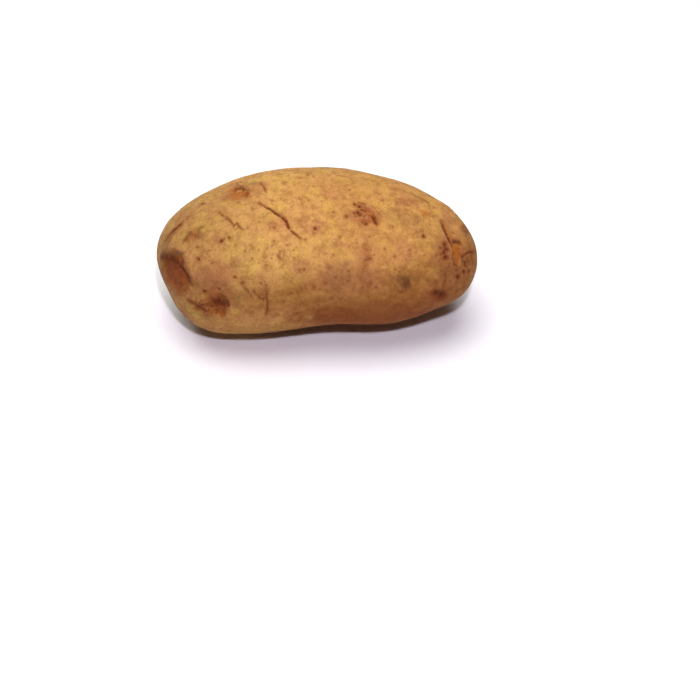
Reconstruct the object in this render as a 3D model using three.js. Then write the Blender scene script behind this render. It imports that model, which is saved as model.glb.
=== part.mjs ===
// A whole long oval potato with a thin netted skin, lying on its flatter side.
// It grew as one piece, so it is one closed body.
//
// Millimetres, +Z up. +X runs from the rose end, where most eyes are, to the heel end,
// where the tuber hung on its stolon. The origin is under the middle, on the surface it lies on.
//
// A place on the skin is given as along, in millimetres from the middle towards the heel,
// and around, in degrees: 0 is the front (-Y), 90 the top, 180 the back and 270 the underside.

import * as THREE from 'three';
import { mergeVertices } from 'three/addons/utils/BufferGeometryUtils.js';

// Driving dimensions of the body

const LENGTH = 115;
const WIDTH = 65.5;
const THICKNESS = 52.5;
const ROSE_BLUNTNESS = 2.5;   // 2 is an ellipse, more is blunter
const HEEL_BLUNTNESS = 2;
const SHOULDER = 0.03;        // how far a cross-section is fuller than an ellipse
const FLATTENED = 0.5;        // depth pressed flat where the belly lies

// The core line of the tuber: where it sways towards the back and how far it lifts
const CORE_LINE = [
  { along: -57.5, sway: 0, lift: 1.5 },
  { along: -46, sway: -2, lift: 0.5 },
  { along: -26, sway: 0, lift: 0 },
  { along: 0, sway: 3.5, lift: 0 },
  { along: 23, sway: 1.5, lift: 0 },
  { along: 43, sway: -1, lift: 1 },
  { along: 57.5, sway: -5, lift: 2.5 },
];

// Broad swellings and hollows of the flesh
const SWELLINGS = [
  { along: -32, around: 60, height: 1, reach: 18 },
  { along: -40, around: 315, height: 2.5, reach: 14 },
  { along: 8, around: 310, height: -3, reach: 16 },
  { along: 6, around: 130, height: -1, reach: 16 },
  { along: 30, around: 215, height: 1.2, reach: 15 },
  { along: -22, around: 190, height: -1, reach: 14 },
  { along: -53, around: 100, height: -0.8, reach: 8 },
  { along: -2, around: 135, height: -0.5, reach: 7 },
  { along: 47, around: 118, height: 0.7, reach: 7 },
  { along: 50, around: 345, height: 1.3, reach: 9 },
  { along: -46, around: 325, height: 0.4, reach: 9 },
  { along: -35, around: 312, height: 0.5, reach: 8 },
  { along: 5, around: 318, height: 0.5, reach: 7 },
];

// Eyes: a hollow with buds under a brow, which is the scar of a scale leaf.
// facing is the way the brow lies from the buds: 0 towards the heel, 90 further round.
const EYES = [
  { along: 17, around: 74, size: 8, depth: 0.7, facing: 45 },
  { along: -27.5, around: 101, size: 8, depth: 1.2, facing: 40 },
  { along: -34.5, around: 6, size: 8.5, depth: 1.2, facing: 5 },
  { along: -18.5, around: 18, size: 6, depth: 0.5, facing: -20 },
  { along: 37, around: 195, size: 8, depth: 1, facing: 20 },
  { along: 26, around: 300, size: 7, depth: 0.9, facing: -15 },
  { along: 6, around: 216, size: 9, depth: 1.3, facing: 10 },
  { along: -10, around: 162, size: 8.5, depth: 1.2, facing: -10 },
  { along: -24, around: 240, size: 9, depth: 1.2, facing: 15 },
  { along: -41, around: 180, size: 8, depth: 1.1, facing: 0 },
  { along: -43, around: 285, size: 7, depth: 0.9, facing: -25 },
  { along: -52, around: 150, size: 6, depth: 0.8, facing: 30 },
];
const EYE_REACH = 1.3;        // of an eye's size
const EYE_ROUNDNESS = 0.72;   // length of an eye for its width
const BUD_RADIUS = 0.9;
const BUD_SPACING = 0.2;      // of an eye's size
const BUD_SETBACK = 0.5;      // how far the outer buds sit behind the middle one
const BUD_HEIGHT = 0.5;       // of an eye's depth
const BROW_HALF_ARC = { full: 55, gone: 90 };   // degrees

// Rings round an eye and a scar: where each runs, as a share of the way from the middle to the
// rim, how wide it is by the same measure, and how high, as a share of the depth
const HOLLOW = { at: 0, spread: 0.85, height: -1 };
const BROW = { at: 1, spread: 0.22, height: 0.5 };
const CREASE = { at: 0.68, spread: 0.14, height: -0.45 };
const LIP = { at: 1.13, spread: 0.13, height: 0.25 };

// Sunken scars, healed over: long across the tuber, turned from there by turn. steep is how far
// one side, where its width points to, is a wall and the other runs out flat.
const SCARS = [
  { along: -49.8, around: 25.2, length: 18.8, width: 13.8, depth: 1.1, turn: 78, steep: 1 },
  { along: 49.5, around: 51.5, length: 9.4, width: 4.4, depth: 0.5, turn: 0, steep: 0 },
];

// The rim of a scar wavers in and out
const RIM_WAVES = [
  { count: 3, height: 0.07, phase: 1 },
  { count: 5, height: 0.04, phase: 2 },
];
const FLOOR_RADIUS = 0.78;    // of the way to the rim, where the floor begins to rise
const OPEN_RADIUS = 0.38;     // the same at an open side
const WALL_DEEPER = 0.4;      // how much deeper the floor is at a wall
const OPEN_SHALLOWER = 0.8;   // how much shallower it is at an open side

// Growth cracks, each a line of places, with the groove's width and depth
const CRACKS = [
  { width: 1, depth: 0.6, line: [[-20, 84], [-16, 78], [-12.8, 72], [-10, 66], [-8.4, 60], [-5.2, 54]] },
  { width: 1, depth: 0.4, line: [[-34.2, 84], [-31.5, 78], [-28.2, 68], [-24.8, 64]] },
  { width: 1, depth: 0.4, line: [[44.3, 86], [45.7, 73], [46.5, 67], [47.8, 57]] },
  { width: 1, depth: 0.5, line: [[12, 190], [14.5, 187], [17, 186.5], [20, 184], [25, 179]] },
];

// Mesh fineness: the longest edge allowed on the plain skin and at the small features
const PLAIN_EDGE = 5;
const FEATURE_EDGE = 1.5;
const CRACK_EDGE = 0.9;
const EDGE_GROWTH = 0.8;      // millimetres longer for each millimetre away from a feature
const EYE_FINE = 0.6;         // how far out from an eye's middle the mesh is fine, of its size
const FIRST_DETAIL = 5;
const MAX_PASSES = 12;
const TINY = 1e-6;

// How far apart two places are that give a direction on the skin: millimetres, degrees
const PROBE = { along: 0.2, around: 0.5 };

const SKIN = new THREE.MeshStandardMaterial({ name: 'skin', color: '#c8954f', roughness: 0.7 });

// Small helpers

const bell = (t) => Math.exp(-t * t);
const ringHeight = ({ at, spread, height }, distance) => height * bell((distance - at) / spread);
const smoothstep = (from, to, value) => THREE.MathUtils.smoothstep(value, from, to);
const radians = THREE.MathUtils.degToRad;

// Height of a smooth line through the stations of the core line
function coreLine(x, field) {
  const last = CORE_LINE.length - 1;
  const slope = (i) => {
    const before = CORE_LINE[Math.max(i - 1, 0)];
    const after = CORE_LINE[Math.min(i + 1, last)];
    return (after[field] - before[field]) / (after.along - before.along);
  };
  let i = 0;
  while (i < last - 1 && x > CORE_LINE[i + 1].along) i += 1;
  const step = CORE_LINE[i + 1].along - CORE_LINE[i].along;
  const t = THREE.MathUtils.clamp((x - CORE_LINE[i].along) / step, 0, 1);
  return CORE_LINE[i][field] * (1 + 2 * t) * (1 - t) ** 2
    + slope(i) * step * t * (1 - t) ** 2
    + CORE_LINE[i + 1][field] * t * t * (3 - 2 * t)
    + slope(i + 1) * step * t * t * (t - 1);
}

// The plain body: every direction from the middle has one point of skin
function plainPoint(direction) {
  const ring = Math.max(1 - direction.x ** 2, TINY * TINY);
  const bluntness = direction.x < 0 ? ROSE_BLUNTNESS : HEEL_BLUNTNESS;
  const rounding = ring > TINY
    ? Math.sqrt(Math.max(1 - Math.abs(direction.x) ** bluntness, 0) / ring)
    : Math.sqrt(bluntness / 2);
  const fullness = 1 + 4 * SHOULDER * (direction.y * direction.z) ** 2 / ring;
  const x = direction.x * LENGTH / 2;
  const y = direction.y * rounding * fullness * WIDTH / 2 + coreLine(x, 'sway');
  const z = direction.z * rounding * fullness * THICKNESS / 2 + coreLine(x, 'lift');
  return new THREE.Vector3(x, y, z);
}

function plainPlace(along, around) {
  const axial = along / (LENGTH / 2);
  const ring = Math.sqrt(1 - axial * axial);
  const angle = radians(around);
  return plainPoint(new THREE.Vector3(axial, -ring * Math.cos(angle), ring * Math.sin(angle)));
}

// A place on the skin with its own directions: heelward, and round the tuber square to that
function localFrame(along, around) {
  const between = (from, to) => to.sub(from).normalize();
  const heelward = between(plainPlace(along - PROBE.along, around), plainPlace(along + PROBE.along, around));
  const round = between(plainPlace(along, around - PROBE.around), plainPlace(along, around + PROBE.around));
  const out = new THREE.Vector3().crossVectors(round, heelward).normalize();
  round.crossVectors(heelward, out).normalize();
  return { centre: plainPlace(along, around), heelward, round };
}

// Offset of a point from a place: u heelward, v round the tuber, and how far away it is
function offsetFrom(frame, point) {
  const away = point.clone().sub(frame.centre);
  return { u: away.dot(frame.heelward), v: away.dot(frame.round), distance: away.length() };
}

const withFrame = (feature) => ({ ...feature, frame: localFrame(feature.along, feature.around) });
const swellings = SWELLINGS.map(withFrame);
const eyes = EYES.map(withFrame);
const scars = SCARS.map(withFrame);
const cracks = CRACKS.map((crack) => ({
  ...crack,
  points: crack.line.map(([along, around]) => plainPlace(along, around)),
}));

// Height that each kind of feature adds to the skin at a point of the plain body

function swellingHeight(swelling, point) {
  return swelling.height * bell(point.distanceTo(swelling.frame.centre) / swelling.reach);
}

function eyeHeight(eye, point) {
  const { u, v, distance } = offsetFrom(eye.frame, point);
  if (distance > eye.size * EYE_REACH) return 0;
  const facing = radians(eye.facing);
  const across = v * Math.cos(facing) - u * Math.sin(facing);
  const forward = u * Math.cos(facing) + v * Math.sin(facing);
  const ring = Math.hypot(forward, across * EYE_ROUNDNESS) / (eye.size / 2);
  const turned = Math.abs(Math.atan2(across, forward));
  const arc = 1 - smoothstep(radians(BROW_HALF_ARC.full), radians(BROW_HALF_ARC.gone), turned);
  let buds = 0;
  for (const side of [-1, 0, 1]) {
    const budAcross = side * BUD_SPACING * eye.size;
    const budForward = -Math.abs(side) * BUD_SETBACK;
    buds += BUD_HEIGHT * bell(Math.hypot(across - budAcross, forward - budForward) / BUD_RADIUS);
  }
  const brow = (ringHeight(BROW, ring) + ringHeight(CREASE, ring)) * arc;
  return eye.depth * (ringHeight(HOLLOW, ring) + brow + buds);
}

function scarHeight(scar, point) {
  const { u, v, distance } = offsetFrom(scar.frame, point);
  if (distance > scar.length) return 0;
  const turn = radians(scar.turn);
  const lengthwise = v * Math.cos(turn) - u * Math.sin(turn);
  const sideways = u * Math.cos(turn) + v * Math.sin(turn);
  const angle = Math.atan2(lengthwise, sideways);
  const waver = ({ count, height, phase }) => height * Math.sin(count * angle + phase);
  const rim = RIM_WAVES.reduce((total, wave) => total + waver(wave), 1);
  const ring = Math.hypot(sideways / (scar.width / 2), lengthwise / (scar.length / 2)) / rim;
  const openSide = scar.steep * (0.5 - 0.5 * THREE.MathUtils.clamp(sideways / (scar.width / 2), -1, 1));
  const depth = scar.depth * (1 + WALL_DEEPER * scar.steep - OPEN_SHALLOWER * openSide);
  const floor = 1 - smoothstep(THREE.MathUtils.lerp(FLOOR_RADIUS, OPEN_RADIUS, openSide), 1, ring);
  return depth * (ringHeight(LIP, ring) * (1 - openSide) - floor);
}

function lineDistance(points, point) {
  const nearest = new THREE.Vector3();
  const stretch = new THREE.Line3();
  let best = Infinity;
  for (let i = 0; i < points.length - 1; i += 1) {
    stretch.set(points[i], points[i + 1]).closestPointToPoint(point, true, nearest);
    best = Math.min(best, nearest.distanceTo(point));
  }
  return best;
}

function crackHeight(crack, point) {
  return -crack.depth * bell(lineDistance(crack.points, point) / (crack.width / 2));
}

function skinHeight(point) {
  const sum = (features, height) => features.reduce((total, feature) => total + height(feature, point), 0);
  const broad = sum(swellings, swellingHeight);
  const fine = sum(eyes, eyeHeight) + sum(scars, scarHeight) + sum(cracks, crackHeight);
  return broad + fine;
}

// The longest edge allowed at a point of the plain body
function edgeLimit(point) {
  const allowed = (finest, away) => finest + EDGE_GROWTH * Math.max(away, 0);
  return Math.min(
    PLAIN_EDGE,
    ...eyes.map((eye) => allowed(FEATURE_EDGE, point.distanceTo(eye.frame.centre) - EYE_FINE * eye.size)),
    ...scars.map((scar) => allowed(FEATURE_EDGE, point.distanceTo(scar.frame.centre) - scar.length / 2)),
    ...cracks.map((crack) => allowed(CRACK_EDGE, lineDistance(crack.points, point) - crack.width)),
  );
}

// A triangle mesh of directions, split at the longest edges until no edge is over its limit

function startingSphere() {
  const sphere = new THREE.IcosahedronGeometry(1, FIRST_DETAIL);
  sphere.deleteAttribute('normal');
  sphere.deleteAttribute('uv');
  const merged = mergeVertices(sphere, 1e-5);
  const position = merged.getAttribute('position');
  const directions = [];
  for (let i = 0; i < position.count; i += 1) {
    directions.push(new THREE.Vector3().fromBufferAttribute(position, i).normalize());
  }
  const faces = [];
  for (let i = 0; i < merged.index.count; i += 3) {
    faces.push([merged.index.getX(i), merged.index.getX(i + 1), merged.index.getX(i + 2)]);
  }
  return { directions, faces };
}

const edgeName = (a, b) => (a < b ? `${a} ${b}` : `${b} ${a}`);

// Turn a face so that its longest edge comes first
function longestFirst([a, b, c], points) {
  const ab = points[a].distanceToSquared(points[b]);
  const bc = points[b].distanceToSquared(points[c]);
  const ca = points[c].distanceToSquared(points[a]);
  if (ab >= bc && ab >= ca) return [a, b, c];
  return bc >= ca ? [b, c, a] : [c, a, b];
}

function markedEdges(faces, points) {
  const marked = new Set();
  for (const [a, b] of faces) {
    const middle = points[a].clone().add(points[b]).multiplyScalar(0.5);
    if (points[a].distanceTo(points[b]) > edgeLimit(middle)) marked.add(edgeName(a, b));
  }
  let grew = marked.size > 0;
  while (grew) {
    grew = false;
    for (const [a, b, c] of faces) {
      const first = edgeName(a, b);
      if (!marked.has(first) && (marked.has(edgeName(b, c)) || marked.has(edgeName(c, a)))) {
        marked.add(first);
        grew = true;
      }
    }
  }
  return marked;
}

function refine(directions, startFaces) {
  const points = directions.map(plainPoint);
  let faces = startFaces;
  for (let pass = 0; pass < MAX_PASSES; pass += 1) {
    faces = faces.map((face) => longestFirst(face, points));
    const marked = markedEdges(faces, points);
    if (marked.size === 0) break;
    const middles = new Map();
    const middle = (a, b) => {
      const name = edgeName(a, b);
      if (!marked.has(name)) return null;
      if (!middles.has(name)) {
        directions.push(directions[a].clone().add(directions[b]).normalize());
        points.push(plainPoint(directions.at(-1)));
        middles.set(name, directions.length - 1);
      }
      return middles.get(name);
    };
    faces = faces.flatMap(([a, b, c]) => {
      const ab = middle(a, b);
      if (ab === null) return [[a, b, c]];
      const bc = middle(b, c);
      const ca = middle(c, a);
      const near = ca === null ? [[a, ab, c]] : [[a, ab, ca], [ca, ab, c]];
      const far = bc === null ? [[ab, b, c]] : [[ab, b, bc], [ab, bc, c]];
      return [...near, ...far];
    });
  }
  return { points, faces };
}

// The skin: the plain body pushed in and out along its own normals, then laid down flat
function tuberGeometry() {
  const { directions, faces: startFaces } = startingSphere();
  const { points, faces } = refine(directions, startFaces);
  const geometry = new THREE.BufferGeometry().setFromPoints(points);
  geometry.setIndex(faces.flat());
  geometry.computeVertexNormals();
  const position = geometry.getAttribute('position');
  const normal = geometry.getAttribute('normal');
  const outward = new THREE.Vector3();
  points.forEach((point, i) => {
    outward.fromBufferAttribute(normal, i);
    const skin = point.clone().addScaledVector(outward, skinHeight(point));
    position.setXYZ(i, skin.x, skin.y, skin.z);
  });
  geometry.computeBoundingBox();
  const { min, max } = geometry.boundingBox;
  geometry.translate(-(min.x + max.x) / 2, -(min.y + max.y) / 2, -(min.z + FLATTENED));
  for (let i = 0; i < position.count; i += 1) position.setZ(i, Math.max(position.getZ(i), 0));
  geometry.computeVertexNormals();
  return geometry;
}

const tuber = new THREE.Mesh(tuberGeometry(), SKIN);
tuber.name = 'tuber';

const potato = new THREE.Group();
potato.add(tuber);

export default potato;
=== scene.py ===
"""A whole long oval potato on a pale floor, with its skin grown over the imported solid.

Metres, +Z up. +X runs from the rose end, where most eyes are, to the heel end. A place on the
skin is given as along, in millimetres from the middle towards the heel, and around, in degrees:
0 is the front (-Y), 90 the top, 180 the back and 270 the underside.
"""

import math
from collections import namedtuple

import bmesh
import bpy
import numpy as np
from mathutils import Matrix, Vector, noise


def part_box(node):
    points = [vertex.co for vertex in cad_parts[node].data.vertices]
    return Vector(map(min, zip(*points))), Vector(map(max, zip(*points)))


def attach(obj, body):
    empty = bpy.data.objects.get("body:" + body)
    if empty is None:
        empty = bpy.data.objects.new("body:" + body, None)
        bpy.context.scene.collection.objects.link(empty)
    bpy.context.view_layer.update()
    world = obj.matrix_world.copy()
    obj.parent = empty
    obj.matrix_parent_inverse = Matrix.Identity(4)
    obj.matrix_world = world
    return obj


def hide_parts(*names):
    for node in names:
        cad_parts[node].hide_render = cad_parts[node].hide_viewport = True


bl_info = {
    "name": "Long oval potato",
    "version": (1, 0, 0),
    "blender": (4, 5, 0),
    "location": "3D View > Sidebar > Potato",
    "description": "Grows the skin of a long oval potato over its solid, and sets it on a pale floor",
    "category": "Add Mesh",
}

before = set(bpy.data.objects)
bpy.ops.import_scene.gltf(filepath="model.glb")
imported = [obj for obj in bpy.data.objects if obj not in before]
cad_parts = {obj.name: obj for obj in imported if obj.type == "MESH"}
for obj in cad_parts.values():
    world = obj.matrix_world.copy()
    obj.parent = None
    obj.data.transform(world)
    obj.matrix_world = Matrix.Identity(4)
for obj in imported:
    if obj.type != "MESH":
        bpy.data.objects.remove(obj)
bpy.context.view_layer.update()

MM = 0.001
BODY = "root"
NODE = "tuber"
SEED = 7

# Shape of the body

LENGTH = 115
WIDTH = 65.5
THICKNESS = 52.5
ROSE_BLUNTNESS = 2.5      # 2 is an ellipse, more is blunter
HEEL_BLUNTNESS = 2
SHOULDER = 0.03           # how far a cross-section is fuller than an ellipse
FLATTENED = 0.5           # depth pressed flat where the belly lies

# Unevenness all over: the size of its lumps and how high they stand
SWELL_SIZE = 14
SWELL_HEIGHT = 0.25
LUMP_SIZE = 4
LUMP_HEIGHT = 0.06
FINE_LUMP_SIZE = 1.3
FINE_LUMP_HEIGHT = 0.03
WANDER_SIZE = 2.5         # of the noise that bends the features' outlines

# The core line: along, sway towards the back, lift
CORE_LINE = np.array([
    (-57.5, 0, 1.5),
    (-46, -2, 0.5),
    (-26, 0, 0),
    (0, 3.5, 0),
    (23, 1.5, 0),
    (43, -1, 1),
    (57.5, -5, 2.5),
])

Swelling = namedtuple("Swelling", "along around height reach")
SWELLINGS = (
    Swelling(-32, 60, 1, 18),
    Swelling(-40, 315, 2.5, 14),
    Swelling(8, 310, -3, 16),
    Swelling(6, 130, -1, 16),
    Swelling(30, 215, 1.2, 15),
    Swelling(-22, 190, -1, 14),
    Swelling(-53, 100, -0.8, 8),
    Swelling(-2, 135, -0.5, 7),
    Swelling(47, 118, 0.7, 7),
    Swelling(50, 345, 1.3, 9),
    Swelling(-46, 325, 0.4, 9),
    Swelling(-35, 312, 0.5, 8),
    Swelling(5, 318, 0.5, 7),
)

# Eyes: a hollow with buds under a brow. facing is the way the brow lies from the buds:
# 0 towards the heel, 90 further round. worn is how far the skin of the hollow is rubbed off.
Eye = namedtuple("Eye", "along around size depth facing worn")
EYES = (
    Eye(17, 74, 8, 0.7, 45, 0.1),
    Eye(-27.5, 101, 8, 1.2, 40, 0.9),
    Eye(-34.5, 6, 8.5, 1.2, 5, 0.6),
    Eye(-18.5, 18, 6, 0.5, -20, 0),
    Eye(37, 195, 8, 1, 20, 0.3),
    Eye(26, 300, 7, 0.9, -15, 0.4),
    Eye(6, 216, 9, 1.3, 10, 0.6),
    Eye(-10, 162, 8.5, 1.2, -10, 0.2),
    Eye(-24, 240, 9, 1.2, 15, 0.5),
    Eye(-41, 180, 8, 1.1, 0, 0.7),
    Eye(-43, 285, 7, 0.9, -25, 0.3),
    Eye(-52, 150, 6, 0.8, 30, 0.4),
)
EYE_ROUNDNESS = 0.72      # length of an eye for its width
BUD_RADIUS = 0.9
BUD_SPACING = 0.2         # of an eye's size
BROW_HALF_ARC = 75        # degrees

# Sunken scars, healed over. length lies across the tuber, turned from there by turn degrees.
# steep is how far one side, where width points to, is a wall and the other runs out flat.
Scar = namedtuple("Scar", "along around length width depth turn steep mask strength")
SCARS = (
    Scar(-49.8, 25.2, 18.8, 13.8, 1.1, 78, 1, "maroon", 0.95),
    Scar(49.5, 51.5, 9.4, 4.4, 0.5, 0, 0, "amber", 0.3),
)

# Cracks, creases and scratches: lines of places on the skin. dark is how dark the groove is.
Groove = namedtuple("Groove", "width depth dark line")
GROOVES = (
    # The growth crack on the front, and smaller ones
    Groove(0.75, 0.6, 1, (
        (-20, 84.5), (-18, 81), (-16.2, 78), (-14.6, 75), (-12.8, 72), (-11.3, 69.5), (-10.1, 66),
        (-9.5, 62.5), (-8.4, 60), (-7, 57), (-5.2, 53.5),
    )),
    Groove(0.7, 0.25, 0.6, ((-20.4, 109), (-19, 102.5), (-18, 98), (-17.3, 93.5))),
    Groove(0.7, 0.3, 0.6, ((-34.2, 84), (-33, 80.5), (-31.8, 78))),
    Groove(0.7, 0.35, 0.7, ((-31.2, 77.5), (-29.6, 73), (-28.2, 68), (-27, 69.5), (-26, 66), (-24.8, 64))),
    Groove(1, 0.45, 1, ((44.3, 86), (44.9, 79), (45.7, 73), (46.5, 67), (47.2, 61), (47.8, 57))),
    Groove(0.8, 0.2, 0.45, ((-25.3, 26), (-24, 21.5), (-22.6, 17), (-21.3, 12))),
    Groove(0.8, 0.25, 0.55, ((-21.2, 22), (-20.9, 18), (-19.9, 15), (-18.6, 11.5), (-17.5, 10))),
    Groove(0.8, 0.3, 0.65, ((-17.1, 18), (-16.8, 13), (-16.7, 8), (-16.9, 2), (-17.2, 356))),
    Groove(0.55, 0.2, 0.5, ((44.2, 7), (44.7, 14), (45.3, 22), (44.7, 28))),
    # Creases in the eyes on the front
    Groove(0.9, 0.25, 0.6, ((14.3, 83), (15, 83.3), (16.1, 83), (17.2, 82), (17.8, 79))),
    Groove(0.9, 0.25, 1, ((15.5, 77), (16.4, 78), (17.8, 77))),
    Groove(1.3, 0.4, 1, ((19, 74.5), (20.1, 73), (20.9, 70), (21.3, 66.5))),
    Groove(0.8, 0.4, 0.55, ((-28.7, 118), (-27.6, 110), (-26, 104.5), (-24.7, 99), (-24.9, 94.5))),
    Groove(1.1, 0.3, 1, ((-34, 12), (-33.4, 8), (-32.7, 4))),
    Groove(1, 0.35, 1, ((-31.9, 16.5), (-31, 13), (-30.4, 9), (-30, 4.5))),
    Groove(0.8, 0.3, 0.85, ((-35.9, 9), (-35.2, 5), (-34.5, 1.5))),
    Groove(0.8, 0.25, 0.6, ((-37.8, 3.5), (-36.6, 360), (-35.6, 356.5))),
    Groove(1, 0.3, 0.65, ((-44.2, 1), (-42.5, 0), (-41, 358.5), (-39.5, 356.5), (-38, 355))),
    # The steep side of the scar by the rose end, the streak above it, and creases round the stolon's scar
    Groove(1.6, 0.4, 1, ((-51, 40.5), (-49.2, 38), (-47, 34), (-45.8, 29.5), (-44.2, 24.5), (-42.6, 20))),
    Groove(1.2, 0.3, 0.95, ((-47.2, 86.5), (-49.3, 83.5), (-51, 80), (-52.3, 78))),
    Groove(1.3, 0.3, 0.8, ((47.4, 61.5), (48.4, 65.5), (49.8, 66.5), (50.9, 64.5))),
    Groove(0.75, 0.3, 1, ((51.2, 46), (52, 48.5), (53.6, 54), (56, 63))),
    Groove(0.9, 0.3, 0.9, ((51.4, 40), (52.5, 36), (52.1, 32.5), (52.9, 28))),
    Groove(0.7, 0.25, 0.7, ((52.9, 45), (53.3, 39), (53.9, 36))),
    Groove(0.7, 0.15, 0.5, ((45.3, 25), (45.4, 18), (45, 11))),
    # A ring mark
    Groove(0.6, 0.15, 0.5, (
        (-10.6, 44), (-11.1, 46.5), (-12.2, 46.5), (-12.8, 44), (-12.2, 41.5), (-11.1, 41.5), (-10.6, 44),
    )),
    # Cracks at the back and below
    Groove(0.8, 0.5, 0.9, ((12, 190), (14.5, 187), (17, 186.5), (20, 184), (22, 180.5), (25, 179))),
    Groove(0.5, 0.3, 0.6, ((-30, 205), (-28.5, 201), (-27, 199.5), (-26, 192))),
    Groove(0.6, 0.3, 0.6, ((28, 256), (31, 253.5), (33, 250), (36, 250.5), (38.5, 246), (41, 243))),
)

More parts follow.
